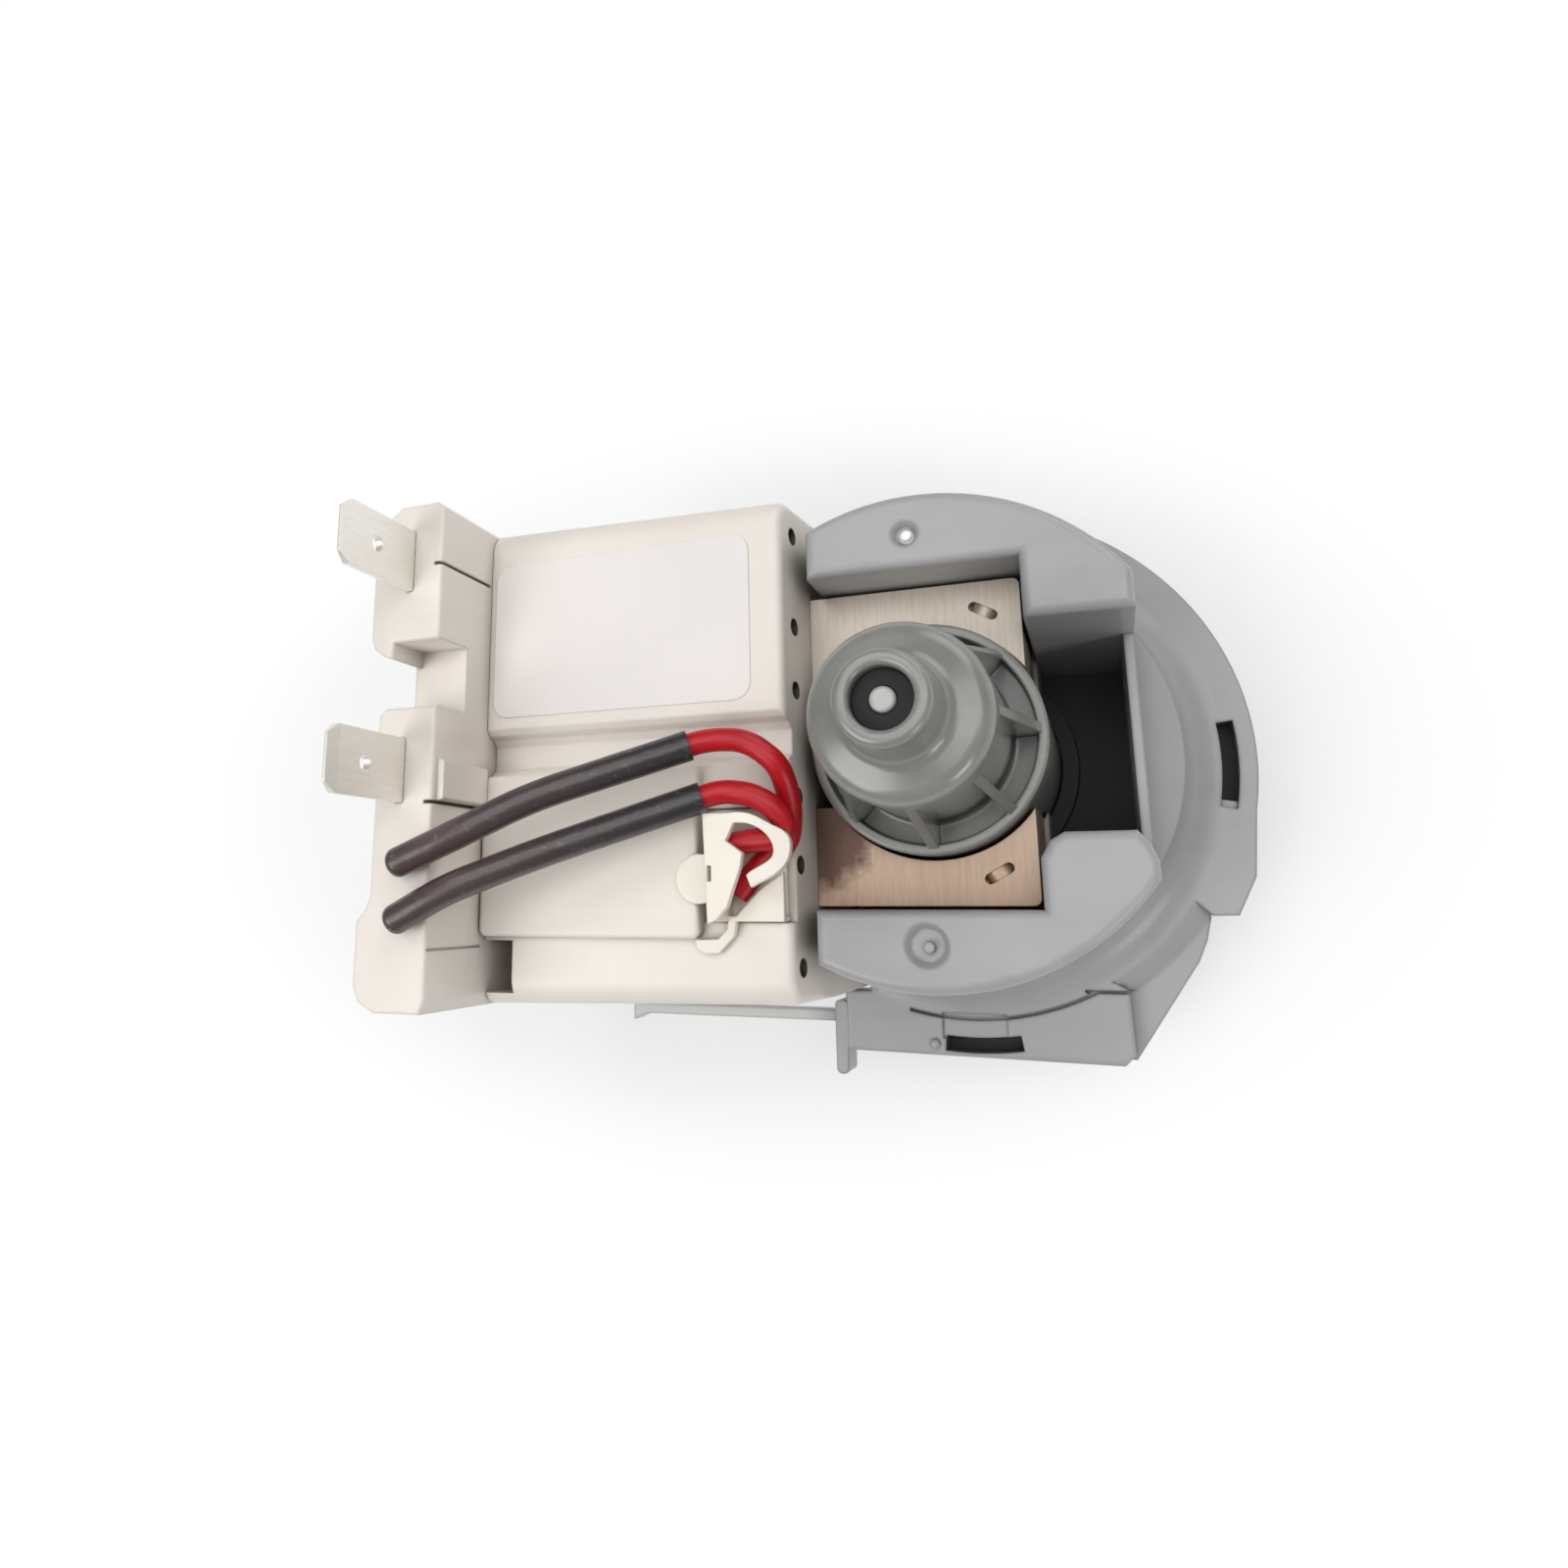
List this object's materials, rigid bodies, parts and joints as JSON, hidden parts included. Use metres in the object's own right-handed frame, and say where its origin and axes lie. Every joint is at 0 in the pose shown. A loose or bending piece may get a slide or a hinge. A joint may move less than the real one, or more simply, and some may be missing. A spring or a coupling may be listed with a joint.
{
  "type": "drain pump",
  "caption": "Small synchronous-motor drain pump: round bayonet base with impeller, U-core motor, ribbed rotor can, coil casing with two blade terminals and sleeved leads.",
  "frame": {"origin": "on the rotor axis at the rim of the spigot that enters the sump, the lowest point", "axes": "+Z along the rotor axis from the sump to the motor's tail, -X from the rotor to the coils and blade terminals, +Y towards the upper coil"},
  "size_m": [0.0832, 0.0638, 0.0624],
  "materials": {
    "housing_plastic": "satin moulded plastic",
    "base_plastic": "matte moulded plastic",
    "can_plastic": "satin moulded plastic",
    "casing_plastic": "fine matte moulded plastic",
    "holder_plastic": "smooth moulded plastic",
    "black_rubber": "matte",
    "lamination_steel": "sheared edges, brushed face",
    "shaft_steel": "ground",
    "tinned_brass": "tinned",
    "copper_wire": "enamelled wire",
    "magnet": "sintered ferrite",
    "bearing": "pressed carbon",
    "hub_plastic": "matte",
    "impeller_plastic": "matte",
    "bobbin_plastic": "matte",
    "red_insulation": "silicone lead",
    "sleeve_plastic": "shrunk sleeve",
    "protector_metal": "lacquered"
  },
  "bodies": {
    "stator": {"sump_base": "base_plastic", "pump_housing": "housing_plastic", "rotor_can": "can_plastic", "tip_ring": "black_rubber", "rear_bearing": "bearing", "rear_bearing_cup": "black_rubber", "bearing_plate": "hub_plastic", "front_bearing": "bearing", "shaft_seal": "black_rubber", "thrust_washer": "shaft_steel", "sump_seal": "black_rubber", "stator_core": "lamination_steel", "upper_bobbin": "bobbin_plastic", "lower_bobbin": "bobbin_plastic", "upper_winding": "copper_wire", "lower_winding": "copper_wire", "coil_casing": "casing_plastic", "terminal_carrier": "casing_plastic", "upper_terminal": "tinned_brass", "lower_terminal": "tinned_brass", "protector_holder": "holder_plastic", "thermal_protector": "protector_metal", "upper_lead": "red_insulation", "lower_lead": "red_insulation", "upper_sleeve": "sleeve_plastic", "lower_sleeve": "sleeve_plastic"},
    "rotor": {"rotor_magnet": "magnet", "rotor_hub": "hub_plastic", "rotor_shaft": "shaft_steel", "drive_dog": "hub_plastic"},
    "impeller": {"impeller": "impeller_plastic", "impeller_cap": "impeller_plastic"}
  },
  "joints": [
    {"name": "rotor_spin", "type": "hinge", "parent": "stator", "child": "rotor", "pos_m": [0, 0, 0.028], "axis": [0, 0, 1], "continuous": true},
    {"name": "impeller_free_travel", "type": "hinge", "parent": "rotor", "child": "impeller", "pos_m": [0, 0, 0.004], "axis": [0, 0, 1], "range_deg": [-109, 109]}
  ]
}
